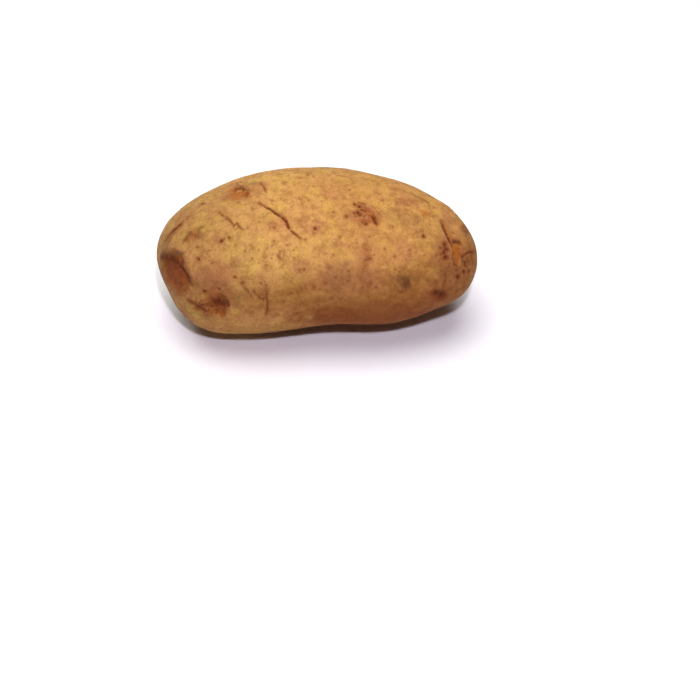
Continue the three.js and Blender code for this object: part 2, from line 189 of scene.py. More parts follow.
# Small deep pits and dots. dark is how dark the floor is.
Pit = namedtuple("Pit", "along around radius depth dark")
PITS = (
    Pit(0, 60, 0.8, 0.5, 1),
    # Round the eye by the rose end and the scar below it
    Pit(-32.3, 57.5, 0.85, 0.5, 1),
    Pit(-31.2, 59, 0.5, 0.2, 0.5),
    Pit(-29.7, 59.5, 0.65, 0.3, 0.65),
    Pit(-38.3, 17, 0.8, 0.5, 1),
    Pit(-33.2, 21, 0.65, 0.35, 0.75),
    Pit(-40.3, 45, 0.75, 0.4, 0.9),
    Pit(-40.8, 55.5, 0.6, 0.2, 0.5),
    Pit(-40, 101, 0.75, 0.3, 0.6),
    Pit(-35.5, 42, 0.6, 0.2, 0.55),
    Pit(-27.6, 31, 0.65, 0.3, 0.75),
    Pit(-44.8, 65.5, 0.7, 0.2, 0.6),
    Pit(-34.1, 357, 0.7, 0.2, 0.65),
    Pit(-34.9, 354, 0.65, 0.2, 0.65),
    Pit(-45.6, 10, 0.7, 0.2, 0.65),
    Pit(-47.6, 14, 0.55, 0.15, 0.5),
    Pit(-44.3, 17, 0.5, 0.15, 0.5),
    # In and by the eye on top
    Pit(-29, 106, 0.9, 0.2, 0.45),
    Pit(-27.2, 89, 0.75, 0.2, 0.5),
    Pit(-27, 116, 0.8, 0.2, 0.5),
    Pit(-24.7, 97.5, 0.9, 0.3, 0.65),
    # Plain skin on the rose half
    Pit(-15.5, 85, 0.65, 0.15, 0.45),
    Pit(-22, 80, 0.65, 0.15, 0.4),
    Pit(-6, 84, 0.55, 0.15, 0.4),
    Pit(-8.4, 77, 0.5, 0.1, 0.35),
    Pit(-11.8, 102, 0.6, 0.15, 0.4),
    Pit(-6.2, 107, 0.6, 0.15, 0.35),
    Pit(-3, 109.5, 0.6, 0.2, 0.5),
    Pit(-1.1, 108, 0.6, 0.2, 0.5),
    Pit(-14.3, 54, 0.6, 0.15, 0.45),
    Pit(-14.3, 63, 0.65, 0.15, 0.45),
    Pit(-23.3, 65, 0.65, 0.15, 0.4),
    Pit(-3.4, 53, 0.55, 0.2, 0.5),
    Pit(-16.9, 38, 0.7, 0.15, 0.45),
    Pit(-5.4, 33, 0.6, 0.25, 0.6),
    Pit(-3.7, 33, 0.6, 0.25, 0.6),
    Pit(-18.7, 25, 0.6, 0.2, 0.45),
    Pit(-17, 24, 0.65, 0.2, 0.6),
    Pit(-25.2, 26.5, 0.75, 0.2, 0.6),
    Pit(-27.9, 42, 0.7, 0.1, 0.35),
    Pit(-11, 9, 0.8, 0.15, 0.5),
    Pit(-6.4, 356, 0.75, 0.15, 0.55),
    Pit(-2.7, 0, 0.75, 0.15, 0.5),
    # Plain skin on the heel half
    Pit(3.5, 23, 0.65, 0.15, 0.5),
    Pit(7.1, 27, 0.65, 0.15, 0.5),
    Pit(-3.3, 19, 0.6, 0.15, 0.4),
    Pit(-0.2, 20, 0.65, 0.15, 0.45),
    Pit(1.5, 18, 0.6, 0.15, 0.4),
    Pit(5.6, 10, 0.7, 0.15, 0.45),
    Pit(11.2, 25, 0.7, 0.15, 0.45),
    Pit(11.6, 32, 0.6, 0.1, 0.4),
    Pit(6, 72, 0.6, 0.15, 0.45),
    Pit(6.4, 69, 0.5, 0.1, 0.35),
    Pit(8.5, 55, 0.65, 0.15, 0.45),
    Pit(11.6, 49, 0.6, 0.15, 0.4),
    Pit(13.6, 74, 0.7, 0.2, 0.75),
    Pit(14.9, 75.3, 1.3, 0.3, 0.95),
    Pit(15.6, 73.8, 1.1, 0.3, 0.8),
    Pit(13.8, 81.5, 1.1, 0.2, 0.75),
    Pit(15.3, 80, 1.1, 0.25, 0.9),
    Pit(10.8, 70, 0.85, 0.15, 0.6),
    Pit(17, 73, 0.9, 0.15, 0.5),
    Pit(18.5, 78, 0.8, 0.1, 0.5),
    Pit(16.5, 68, 0.9, 0.15, 0.6),
    Pit(17.6, 67, 1.1, 0.3, 0.85),
    Pit(19, 68.5, 0.9, 0.1, 0.35),
    Pit(21.8, 76, 0.75, 0.15, 0.5),
    Pit(23.5, 89, 0.8, 0.1, 0.4),
    Pit(9.9, 85, 1, 0.05, 0.3),
    Pit(19.2, 42, 0.6, 0.15, 0.6),
    Pit(20.3, 44.5, 0.5, 0.1, 0.4),
    Pit(19.3, 23, 0.8, 0.15, 0.5),
    Pit(21, 20, 0.7, 0.15, 0.55),
    Pit(21, 27, 0.6, 0.1, 0.4),
    Pit(21, 33, 0.6, 0.1, 0.4),
    Pit(24.1, 49, 0.7, 0.15, 0.4),
    Pit(25.1, 39, 0.6, 0.1, 0.3),
    Pit(27.6, 44, 0.65, 0.15, 0.45),
    Pit(32.7, 49, 0.6, 0.15, 0.5),
    Pit(27.6, 34, 0.55, 0.1, 0.5),
    Pit(29.1, 32, 0.55, 0.1, 0.55),
    Pit(25.7, 29, 0.55, 0.1, 0.5),
    Pit(28.9, 28.5, 0.5, 0.1, 0.5),
    Pit(28.7, 16, 0.7, 0.1, 0.4),
    Pit(30, 14, 0.75, 0.1, 0.5),
    Pit(26.9, 67, 0.6, 0.2, 0.5),
    Pit(32, 85, 0.6, 0.15, 0.45),
    Pit(33.9, 95, 0.6, 0.15, 0.45),
    Pit(37.7, 62.5, 0.75, 0.35, 0.85),
    Pit(40.1, 76, 0.55, 0.15, 0.45),
    Pit(48.2, 77, 0.6, 0.2, 0.5),
    # By the stolon's scar
    Pit(45.2, 58, 1.4, 0.4, 1),
    Pit(45.9, 53, 1.3, 0.5, 1),
    Pit(44.9, 49, 1.2, 0.5, 1),
    Pit(45.4, 44.5, 1.35, 0.4, 1),
    Pit(43.7, 47, 0.75, 0.3, 0.6),
    Pit(43.7, 53, 0.85, 0.3, 0.7),
    Pit(51.5, 46.5, 1, 0.3, 0.9),
    Pit(51.7, 22, 1.1, 0.3, 1),
    Pit(53.4, 19.5, 1, 0.3, 0.9),
    Pit(49.2, 33.5, 0.75, 0.25, 0.75),
    Pit(50.6, 21.5, 0.5, 0.2, 0.5),
    Pit(49.2, 27.5, 0.55, 0.2, 0.55),
    Pit(49.5, 18, 1.15, 0.3, 0.95),
    Pit(48.5, 35, 0.65, 0.2, 0.6),
    Pit(42, 4.5, 1.6, 0.5, 1),
    Pit(43.8, 359.5, 2, 0.5, 1),
)
SCATTERED_PITS = 70
SCATTERED_ALONG = (-54, 54)
SCATTERED_AROUND = (120, 350)     # the front and top hold only the pits named above
SCATTERED_RADIUS = (0.3, 0.6)
SCATTERED_DEPTH = (0.1, 0.35)
SCATTERED_DARK = (0.35, 0.9)

# Soft strokes of colour along a line of places
Stroke = namedtuple("Stroke", "mask width strength line")
STROKES = (
    # Eye by the rose end
    Stroke("crease", 3.2, 0.9, ((-35.2, 8), (-33.8, 7.5), (-32.8, 6.5))),
    Stroke("crease", 2.4, 0.5, ((-40.5, 0), (-38, 3), (-36, 2))),
    Stroke("crease", 1.7, 0.6, ((-34.7, 357.5), (-34, 359.5))),
    Stroke("maroon", 2.8, 0.75, ((-43.8, 360), (-40.6, 356.5), (-38, 355.5))),
    Stroke("maroon", 2, 0.6, ((-31.4, 3), (-31.8, 358), (-32.5, 354))),
    # Scar by the rose end: its dark upper band along the steep wall, partly dark scurf and partly painted
    # shadow of the wall, then its floor and the streak above it
    Stroke("crease", 1.8, 0.55, ((-54, 46), (-51.5, 50.5), (-48.4, 51.5), (-46, 50))),
    Stroke("crease", 3.4, 0.9, ((-54.5, 39), (-52.7, 41.5), (-50.7, 40.5), (-48.7, 37.5))),
    Stroke("crease", 6, 0.5, ((-53, 34), (-50, 35), (-48.2, 31.5))),
    Stroke("stain_and_shade", 5, 0.5, ((-54, 34), (-52, 31))),
    Stroke("crease", 1.3, 0.5, ((-47.8, 17), (-46.8, 13.5), (-47.4, 10))),
    Stroke("crease", 1.1, 0.4, ((-52, 27), (-50.6, 20), (-50.2, 14))),
    Stroke("amber", 4, 0.5, ((-50, 23.5), (-48.2, 21.5), (-46.8, 20))),
    Stroke("maroon", 4, 0.7, ((-48, 84), (-49.9, 80.5), (-51.8, 76.5), (-53.4, 74.5))),
    Stroke("maroon", 2.6, 0.6, ((-45, 14), (-46.8, 9), (-48.5, 11))),
    # Scurf between the two
    Stroke("crease", 1.8, 0.7, ((-45, 65), (-44, 68), (-43.6, 71))),
    Stroke("crease", 1.9, 0.5, ((-43.6, 70), (-42.5, 68.5), (-41.5, 66), (-40.2, 64))),
    Stroke("crease", 1.8, 0.55, ((-40.3, 68.5), (-41, 72), (-39.2, 73))),
    # Orange brown under the marks of the eye above the smear
    Stroke("amber", 2.4, 0.7, ((13.6, 81.5), (15.8, 80))),
    Stroke("amber", 2.8, 0.75, ((14.9, 75.5), (15.6, 73.8))),
    Stroke("amber", 1.9, 0.6, ((16, 77.3), (17.6, 77))),
    Stroke("amber", 2.6, 0.85, ((19.2, 74.2), (20.9, 70), (21.2, 67))),
    Stroke("amber", 2.2, 0.7, ((17.7, 66.8), (16.2, 68.2))),
    # Orange brown beside the scratch by the stolon's scar
    Stroke("amber", 2.2, 0.55, ((45.2, 82), (46.4, 74), (47.2, 66))),
    # Eye on top
    Stroke("stain_and_shade", 4, 0.6, ((-26, 109), (-22.3, 108.5))),
    # Smears, and small marks along the top
    Stroke("russet", 1.9, 1, ((17.1, 50), (17.4, 45.5))),
    Stroke("crease", 1.7, 0.6, ((18.1, 42.5), (17.1, 40.5))),
    Stroke("amber", 2.4, 0.5, ((18.2, 44), (17.2, 38))),
    Stroke("maroon", 1.6, 0.6, ((17.1, 36.5), (16.7, 34))),
    Stroke("crease", 0.9, 0.45, ((28.3, 91), (28.2, 86.5))),
    Stroke("crease", 1, 0.5, ((7.7, 110.5), (11, 110.5))),
    Stroke("crease", 0.9, 0.35, ((6.4, 85), (6.6, 82))),
    Stroke("stain_and_shade", 1.8, 0.5, ((30.8, 109.5), (32.6, 107.5))),
    Stroke("maroon", 1.2, 0.75, ((33.5, 108.5), (36.2, 106), (39.7, 104))),
    Stroke("stain_and_shade", 2, 0.4, ((38.6, 73), (39.5, 68), (37.3, 66))),
)

# Patches of colour: an oval of the skin with a ragged edge
Patch = namedtuple("Patch", "mask along around length width turn strength")
PATCHES = (
    Patch("russet", -37, 1, 15, 9, 0, 1),
    Patch("maroon", -33.4, 6, 7, 7, 0, 0.85),
    Patch("amber", -34.2, 357.5, 6, 5, 0, 0.8),
    Patch("stain_and_shade", -37.5, 349, 7, 4, 0, 0.5),
    Patch("amber", -27.5, 97.5, 6.5, 4.5, 60, 0.95),
    Patch("amber", -48.3, 47, 5, 3.2, 0, 0.75),
    Patch("russet", -49, 42.5, 3.5, 3, 0, 0.8),
    Patch("russet", -46.5, 12, 8, 6, 0, 0.8),
    Patch("stain_and_shade", -49.6, 358, 6, 4, 0, 0.5),
    Patch("russet", -42.5, 67, 7, 6, 20, 0.6),
    Patch("russet", 44.8, 51, 5.5, 9, 0, 0.75),
    Patch("amber", 49.3, 53.5, 4, 9, 0, 0.75),
    Patch("russet", 52.2, 26, 6, 14, 0, 0.45),
    Patch("ruddy", 38.2, 87, 6.4, 4.4, -30, 1),
    Patch("amber", 38.2, 87, 5.4, 3.6, -30, 0.45),
    Patch("russet", 17.3, 73, 10, 7, -45, 0.5),
    Patch("blush", -13, 65, 8, 6, 0, 0.6),
    Patch("blush", 17.3, 73, 13, 10, -45, 0.8),
    Patch("blush", -20, 103, 8, 6, 0, 0.7),
    Patch("blush", 18, 42, 8, 10, 0, 0.5),
    Patch("blush", 0, 60, 7, 6, 0, 0.5),
    Patch("blush", 6, 88, 10, 5, 0, 0.5),
    Patch("blush", 32, 96, 12, 9, 0, 0.6),
    Patch("blush", 47, 95, 8, 12, 0, 0.5),
    Patch("blush", -35, 28, 20, 13, -15, 0.85),
    Patch("stain_and_shade", -37, 24, 18, 12, -15, 0.55),
    # Partly greyer skin, partly painted shade: the rose end above the scar darkened
    Patch("stain_and_shade", -53.5, 56, 9, 16, 0, 0.75),
    Patch("stain_and_shade", -30, 19, 17, 9, 0, 0.4),
    Patch("stain_and_shade", -25, 60, 7, 8, 0, 0.35),
    Patch("stain_and_shade", 47, 38, 13, 34, 0, 0.42),
    Patch("stain_and_shade", 8, 28, 13, 11, 0, 0.4),
    Patch("stain_and_shade", 31, 76, 20, 8, 0, 0.3),
    Patch("blush", 30, 47, 12, 9, 0, 0.5),
    Patch("blush", -4.5, 34, 9, 7, 0, 0.5),
    Patch("blush", 12, 26, 28, 12, 0, 0.65),
    Patch("blush", -47, 93, 10, 6, 0, 0.5),
    Patch("blush", -18, 355, 32, 12, 0, 0.5),
    # Painted shade, partly: the lower front towards the heel darkened and reddened where it lies in shade
    Patch("maroon", 24, 350, 56, 17, 0, 0.58),
    Patch("maroon", 44, 8, 11, 11, 0, 0.4),
    Patch("ruddy", 33, 12, 26, 9, -10, 0.7),
    Patch("stain_and_shade", -27, 41, 7, 6, 0, 0.4),
    Patch("stain_and_shade", 30, 23, 12, 10, 0, 0.3),
    Patch("stain_and_shade", 31.2, 22, 5, 7, 20, 0.8),
    Patch("crease", 31.8, 20, 2.8, 4, 0, 0.55),
    Patch("crease", 31, 25, 1.6, 2.4, 0, 0.4),
    Patch("stain_and_shade", 18, 27, 6, 5, 0, 0.3),
    Patch("maroon", 43, 359, 9, 9, 0, 0.9),
    Patch("maroon", 52.8, 103, 4, 6, 0, 0.6),
    Patch("stain_and_shade", 52.4, 100, 5, 10, 0, 0.4),
    Patch("maroon", 49.5, 50, 3.6, 9, 0, 0.3),
    # At the back and below
    Patch("russet", 20, 240, 14, 9, 20, 0.8),
    Patch("russet", -20, 150, 10, 6, -30, 0.7),
    Patch("russet", 44, 160, 9, 6, 30, 0.7),
    Patch("stain_and_shade", -8, 195, 12, 8, 10, 0.5),
    Patch("stain_and_shade", 30, 170, 9, 7, -20, 0.4),
    Patch("blush", -30, 165, 16, 10, 0, 0.5),
    Patch("blush", 15, 140, 14, 9, 0, 0.5),
    Patch("amber", -4, 236, 4, 3, 0, 0.7),
)
MASKS = ("earth_and_shade", "ruddy", "blush", "stain_and_shade", "russet", "amber", "maroon", "crease")

# Sides that differ in colour: the way each faces, and where along that way it begins and is full.
# The earthy side is partly skin darkened by heavier soil and partly painted shade, darker towards the front
# of the underside where the skin turns away from the light overhead. A negative strength takes the mask away
# again.
Side = namedtuple("Side", "mask facing begins full strength")
SIDES = (
    # Soil and painted shade together: the lower front and the lower rose end darkened; the rows with a
    # negative strength lighten it again in places
    Side("earth_and_shade", (0.234, -0.371, -0.898), -0.27, 0.05, 1),
    Side("earth_and_shade", (-0.72, -0.58, -0.38), 0.65, 0.9, 0.4),
    Side("earth_and_shade", (-0.62, -0.7, -0.35), 0.75, 0.93, -0.7),
    Side("earth_and_shade", (-0.42, -0.9, 0.1), 0.87, 0.97, -0.5),
    Side("earth_and_shade", (0.42, -0.85, 0.3), 0.86, 0.97, -0.4),
    Side("earth_and_shade", (0.9, -0.4, 0), 0.85, 1, -0.4),
    Side("ruddy", (0.9, 0, 0.43), 0, 0.7, 0.35),
    # Partly greyer skin, partly painted shade: the rose end darker, where less of the overhead light falls
    Side("stain_and_shade", (-0.93, -0.15, 0.33), 0.5, 0.95, 0.35),
    # Painted shade: the underside, lying close to the floor, darkened
    Side("stain_and_shade", (0, -0.1, -1), 0.8, 1, 0.4),
)

# Fineness of the skin's mesh: the longest edge allowed, in millimetres
EYE_EDGE = 0.5
GROOVE_EDGE = 0.33
EDGE_GROWTH = 0.3         # longer for each millimetre away from a feature
FIRST_SUBDIVISIONS = 4
MAX_PASSES = 24


def linear(hex_colour):
    """An sRGB hex colour as linear red, green and blue."""
    channels = [int(hex_colour[i:i + 2], 16) / 255 for i in (1, 3, 5)]
    return tuple(c / 12.92 if c <= 0.04045 else ((c + 0.055) / 1.055) ** 2.4 for c in channels)


def colour_property(name, hex_colour, description):
    return bpy.props.FloatVectorProperty(
        name=name, description=description, subtype="COLOR", size=3, min=0, max=1,
        default=linear(hex_colour),
    )


def size_property(name, millimetres, description):
    return bpy.props.FloatProperty(
        name=name, description=description, subtype="DISTANCE", unit="LENGTH", min=0,
        default=millimetres * MM,
    )


class SkinSettings(bpy.types.PropertyGroup):
    golden: colour_property("Golden", "#C79F4D", "Main colour of the skin")
    tan: colour_property("Tan", "#C18E50", "Pinker blotches between the golden ones")
    ruddy: colour_property("Ruddy", "#B27836", "Browner skin towards the heel end")
    # The earthy colours stand for soil-darkened skin and painted shade on the lower front together
    earthy_and_shade: colour_property("Earthy", "#985C26", "The side that lay in heavier soil")
    dark_earthy_and_shade: colour_property("Dark earthy", "#6C3812", "Darker blotches of the earthy side")
    shade: colour_property("Mottle", "#744319", "Fine dark mottling")
    dot: colour_property("Dots", "#6A3912", "Breathing pores")
    blush: colour_property("Blush", "#B07348", "Pinker skin round eyes and marks")
    # The stain colour paints greyer bruised skin, and also painted shade on the underside and the rose end
    stain_and_shade: colour_property("Stain", "#5E4226", "Greyer skin over bruises")
    cork: colour_property("Cork", "#84461A", "Rough corky scurf")
    amber: colour_property("Amber", "#9A5412", "Skin rubbed raw and dried")
    # Maroon paints old scar floors, and also painted shade on the lower front towards the heel
    maroon: colour_property("Maroon", "#6A2C0E", "Floor of an old scar")
    crease: colour_property("Crease", "#4C1F06", "Cracks, creases and pits")
    mesh_edge: size_property("Mesh edge", 1.06, "Longest edge of the skin's mesh on plain skin")
    blotch: size_property("Blotches", 9, "Size of the blotches of colour")
    pebble: size_property("Pebbles", 1.2, "Size of the fine lumps that roughen the skin")
    pore_spacing: size_property("Pores", 2.4, "Spacing of the breathing pores")


class StageSettings(bpy.types.PropertyGroup):
    floor_colour: colour_property("Floor", "#E9E8E7", "Colour of the paper floor")
    floor_width: size_property("Floor width", 800, "Width of the round paper floor")
    overhead_power: bpy.props.FloatProperty(
        name="Overhead", description="Power of the wide light overhead", subtype="POWER", default=15.6)
    overhead_width: size_property("Overhead width", 1150, "Width of the wide light overhead")
    key_power: bpy.props.FloatProperty(
        name="Key", description="Power of the small light above the camera", subtype="POWER", default=3.9)
    key_width: size_property("Key width", 50, "Width of the small light above the camera")
    surround_width: size_property("Surround width", 6000, "Width of the pale surround that closes the view")
    surround_glow: bpy.props.FloatProperty(
        name="Surround glow", description="Brightness of the pale surround", default=1.25)
    room_light: bpy.props.FloatProperty(
        name="Room", description="Strength of the even light from the room", default=0.025)


# Geometry of the plain body, in millimetres


def core_line(x, column):
    """The core line's sway (column 1) or lift (column 2) at x."""
    knots = CORE_LINE[:, 0]
    values = CORE_LINE[:, column]
    before = np.maximum(np.arange(len(knots)) - 1, 0)
    after = np.minimum(np.arange(len(knots)) + 1, len(knots) - 1)
    slopes = (values[after] - values[before]) / (knots[after] - knots[before])
    i = np.clip(np.searchsorted(knots, x) - 1, 0, len(knots) - 2)
    step = knots[i + 1] - knots[i]
    t = np.clip((x - knots[i]) / step, 0, 1)
    return (values[i] * (1 + 2 * t) * (1 - t) ** 2
            + slopes[i] * step * t * (1 - t) ** 2
            + values[i + 1] * t * t * (3 - 2 * t)
            + slopes[i + 1] * step * t * t * (t - 1))


def plain_skin(direction):
    """The plain body's point in each direction from its middle."""
    dx, dy, dz = np.atleast_2d(direction).T
    ring = np.maximum(1 - dx * dx, 1e-12)
    bluntness = np.where(dx < 0, ROSE_BLUNTNESS, HEEL_BLUNTNESS)
    rounding = np.sqrt(np.maximum(1 - np.abs(dx) ** bluntness, 0) / ring)
    rounding = np.where(ring > 1e-6, rounding, np.sqrt(bluntness / 2))
    fullness = 1 + 4 * SHOULDER * (dy * dz) ** 2 / ring
    x = dx * LENGTH / 2
    y = dy * rounding * fullness * WIDTH / 2 + core_line(x, 1)
    z = dz * rounding * fullness * THICKNESS / 2 + core_line(x, 2)
    return np.stack([x, y, z], axis=1)


def plain_place(along, around):
    """The plain body's point at a place."""
    axial = along / (LENGTH / 2)
    ring = math.sqrt(1 - axial * axial)
    angle = math.radians(around)
    return plain_skin((axial, -ring * math.cos(angle), ring * math.sin(angle)))[0]


def unit(vector):
    return vector / np.linalg.norm(vector)


def local_offset(points, along, around, turn=0):
    """Offsets from a place: heelward and round the tuber, both turned by turn, and the distance."""
    away = points - plain_place(along, around)
    heelward = unit(plain_place(along + 0.2, around) - plain_place(along - 0.2, around))
    round_it = unit(plain_place(along, around + 0.5) - plain_place(along, around - 0.5))
    out = unit(np.cross(round_it, heelward))
    round_it = unit(np.cross(heelward, out))
    u = away @ heelward
    v = away @ round_it
    angle = math.radians(turn)
    forward = u * math.cos(angle) + v * math.sin(angle)
    across = v * math.cos(angle) - u * math.sin(angle)
    return forward, across, np.linalg.norm(away, axis=1)


def line_distance(points, places):
    """Distance to a line of places, and how far along it the nearest point lies, from 0 to 1."""
    corners = np.array([plain_place(*place) for place in places])
    lengths = np.linalg.norm(np.diff(corners, axis=0), axis=1)
    best = np.full(len(points), np.inf)
    share = np.zeros(len(points))
    for i, length in enumerate(lengths):
        stretch = (corners[i + 1] - corners[i]) / length
        t = np.clip((points - corners[i]) @ stretch, 0, length)
        distance = np.linalg.norm(points - corners[i] - t[:, None] * stretch, axis=1)
        nearer = distance < best
        best = np.where(nearer, distance, best)
        share = np.where(nearer, (lengths[:i].sum() + t) / lengths.sum(), share)
    return best, share


def bell(t):
    return np.exp(-t * t)


def smoothstep(low, high, value):
    t = np.clip((value - low) / (high - low), 0, 1)
    return t * t * (3 - 2 * t)


def grain(points, size, octaves=2):
    """Natural noise of about -1 to 1 with lumps of that size in millimetres."""
    return np.array([noise.fractal(Vector(p), 1.0, 2.0, octaves) for p in points / size])


# Relief of the features: each adds height, and paints its masks


class Skin:
    """The skin while it is worked on: plain points, height to add, and colour masks."""

    def __init__(self, points):
        self.points = points
        self.height = np.zeros(len(points))
        self.masks = {name: np.zeros(len(points)) for name in MASKS}
        self.swells = grain(points + 90, SWELL_SIZE)
        self.lumps = grain(points, LUMP_SIZE)
        self.fine_lumps = grain(points + 50, FINE_LUMP_SIZE)
        self.wander = np.stack([grain(points + 30 * k, WANDER_SIZE) for k in (1, 2, 3)], axis=1)

    def paint(self, mask, amount):
        """Lay a mask over what is there, keeping the stronger of the two."""
        self.masks[mask] = np.maximum(self.masks[mask], np.clip(amount, 0, 1))


def swell(skin, swelling):
    _, _, distance = local_offset(skin.points, swelling.along, swelling.around)
    skin.height += swelling.height * bell(distance / swelling.reach)


def carve_eye(skin, eye):
    wandered = skin.points + 0.5 * skin.wander
    forward, across, distance = local_offset(wandered, eye.along, eye.around, eye.facing)
    near = np.where(distance < eye.size * 1.3, 1.0, 0.0)
    ring = np.hypot(forward, across * EYE_ROUNDNESS) / (eye.size / 2)
    turned = np.abs(np.degrees(np.arctan2(across, forward)))
    arc = 1 - smoothstep(BROW_HALF_ARC - 20, BROW_HALF_ARC + 15, turned)
    inner_arc = 1 - smoothstep(BROW_HALF_ARC - 35, BROW_HALF_ARC, turned)
    hollow = -bell(ring / 0.85)
    brow = 0.5 * bell((ring - 1) / 0.22) * arc
    crease = bell((ring - 0.7) / 0.12) * arc
    scale = 0.3 * bell((ring - 0.45) / 0.12) * inner_arc
    buds = np.zeros(len(forward))
    for side in (-1, 0, 1):
        bud_across = side * BUD_SPACING * eye.size
        bud_forward = -abs(side) * 0.5
        buds = np.maximum(buds, bell(np.hypot(across - bud_across, forward - bud_forward) / BUD_RADIUS))
    rough = 0.15 * skin.fine_lumps * bell(ring / 0.9)
    skin.height += eye.depth * near * (hollow + brow - 0.45 * crease + scale + 0.45 * buds + rough)
    broken = smoothstep(-0.5, 0.4, skin.lumps + 0.5 * skin.fine_lumps)
    strength = near * min(1, eye.depth)
    spots = bell(ring / 0.85) * smoothstep(0.15, 0.65, skin.fine_lumps)
    skin.paint("crease", strength * np.maximum(0.5 * crease * broken, 0.4 * spots))
    skin.paint("russet", strength * (bell(ring / 0.95) + crease * broken + spots))
    skin.paint("blush", strength * 0.6 * bell(ring / 1.2))
    skin.paint("amber", eye.worn * near * bell(ring / 0.65) * smoothstep(-0.3, 0.4, skin.fine_lumps))


def carve_scar(skin, scar):
    wandered = skin.points + 0.5 * skin.wander
    sideways, lengthwise, distance = local_offset(wandered, scar.along, scar.around, scar.turn)
    near = np.where(distance < scar.length, 1.0, 0.0)
    angle = np.arctan2(lengthwise, sideways)
    ragged = 1 + 0.07 * np.sin(3 * angle + 1) + 0.04 * np.sin(5 * angle + 2)
    ring = np.hypot(sideways / (scar.width / 2), lengthwise / (scar.length / 2)) / ragged
    open_side = scar.steep * (0.5 - 0.5 * np.clip(sideways / (scar.width / 2), -1, 1))
    depth = scar.depth * (1 + 0.4 * scar.steep - 0.8 * open_side)
    floor = 1 - smoothstep(0.78 - 0.4 * open_side, 1, ring)
    lip = bell((ring - 1.13) / 0.13) * (1 - open_side)
    skin.height += near * depth * (0.25 * lip - floor + 0.12 * skin.fine_lumps * floor)
    skin.paint(scar.mask, scar.strength * near * floor)
    skin.paint("russet", near * 0.6 * (1 - smoothstep(0.9, 1.15, ring)))
    skin.paint("blush", near * 0.6 * lip)


def carve_groove(skin, groove):
    distance, share = line_distance(skin.points + 0.3 * skin.wander, groove.line)
    taper = np.sqrt(np.clip(4 * share * (1 - share), 0, 1))
    reach = bell(distance / (groove.width / 2)) * (0.45 + 0.55 * taper)
    lip = bell((distance - groove.width) / 0.4) * taper
    skin.height += groove.depth * (0.12 * lip - reach)
    skin.paint("crease", groove.dark * reach * smoothstep(-1.2, 0, skin.fine_lumps))
    skin.paint("russet", groove.dark * bell(distance / (1.1 * groove.width)) * (0.4 + 0.6 * taper))


def carve_pit(skin, pit):
    _, _, distance = local_offset(skin.points + 0.15 * skin.wander, pit.along, pit.around)
    reach = bell(distance / (0.7 * pit.radius))
    skin.height += pit.depth * (0.15 * bell((distance - 1.5 * pit.radius) / (0.5 * pit.radius)) - reach)
    skin.paint("crease", pit.dark * reach)
    skin.paint("russet", pit.dark * bell(distance / (1.3 * pit.radius)))
    skin.paint("blush", 0.6 * pit.dark * bell(distance / (2.5 * pit.radius)))


def lay_stroke(skin, stroke):
    distance, share = line_distance(skin.points + 0.4 * skin.wander, stroke.line)
    ragged = bell(distance / (stroke.width / 2)) * smoothstep(-1.4, 0.2, skin.lumps + skin.fine_lumps)
    skin.paint(stroke.mask, stroke.strength * ragged)


def lay_patch(skin, patch):
    wandered = skin.points + 0.6 * skin.wander
    lengthwise, across, distance = local_offset(wandered, patch.along, patch.around, patch.turn)
    near = np.where(distance < 1.5 * max(patch.length, patch.width), 1.0, 0.0)
    ring = np.hypot(lengthwise / (patch.length / 2), across / (patch.width / 2))
    edge = 1 - smoothstep(0.4, 1.3, ring + 0.3 * skin.lumps + 0.15 * skin.fine_lumps)
    skin.paint(patch.mask, near * patch.strength * edge)


def colour_side(skin, side):
    body = skin.points / (LENGTH / 2, WIDTH / 2, THICKNESS / 2)
    facing = (body / np.linalg.norm(body, axis=1, keepdims=True)) @ unit(np.array(side.facing))
    uneven = facing + 0.07 * skin.swells + 0.04 * skin.lumps
    amount = side.strength * smoothstep(side.begins, side.full, uneven)
    skin.masks[side.mask] = np.clip(skin.masks[side.mask] + amount, 0, 1)


def scattered_pits():
    """Seeded small pits over the back, the underside and the ends."""
    draw = np.random.default_rng(SEED)
    ranges = (SCATTERED_ALONG, SCATTERED_AROUND, SCATTERED_RADIUS, SCATTERED_DEPTH, SCATTERED_DARK)
    return tuple(Pit(*(draw.uniform(*limits) for limits in ranges)) for _ in range(SCATTERED_PITS))


# The mesh: directions on a sphere, split at the longest edges until none is over its limit


def edge_limit(points, plain_edge, pits):
    limit = np.full(len(points), plain_edge)
    for eye in EYES:
        away = local_offset(points, eye.along, eye.around)[2] - 0.6 * eye.size
        limit = np.minimum(limit, EYE_EDGE + EDGE_GROWTH * np.maximum(away, 0))
    for scar in SCARS:
        away = local_offset(points, scar.along, scar.around)[2] - 0.5 * scar.length
        limit = np.minimum(limit, EYE_EDGE + EDGE_GROWTH * np.maximum(away, 0))
    for pit in pits:
        away = local_offset(points, pit.along, pit.around)[2] - 1.2 * pit.radius
        limit = np.minimum(limit, GROOVE_EDGE + 2 * EDGE_GROWTH * np.maximum(away, 0))
    for groove in GROOVES:
        away = line_distance(points, groove.line)[0] - groove.width
        limit = np.minimum(limit, GROOVE_EDGE + 2 * EDGE_GROWTH * np.maximum(away, 0))
    return limit


def starting_sphere():
    sphere = bmesh.new()
    bmesh.ops.create_icosphere(sphere, subdivisions=FIRST_SUBDIVISIONS, radius=1)
    sphere.verts.ensure_lookup_table()
    directions = np.array([unit(np.array(v.co)) for v in sphere.verts])
    faces = np.array([[v.index for v in face.verts] for face in sphere.faces])
    sphere.free()
    return directions, faces


def longest_first(faces, points):
    """Each face turned so that its longest edge comes first, and that edge's length."""
    corners = points[faces]
    lengths = np.linalg.norm(corners - np.roll(corners, -1, axis=1), axis=2)
    first = lengths.argmax(axis=1)
    order = (first[:, None] + np.arange(3)) % 3
    return np.take_along_axis(faces, order, axis=1), lengths.max(axis=1)


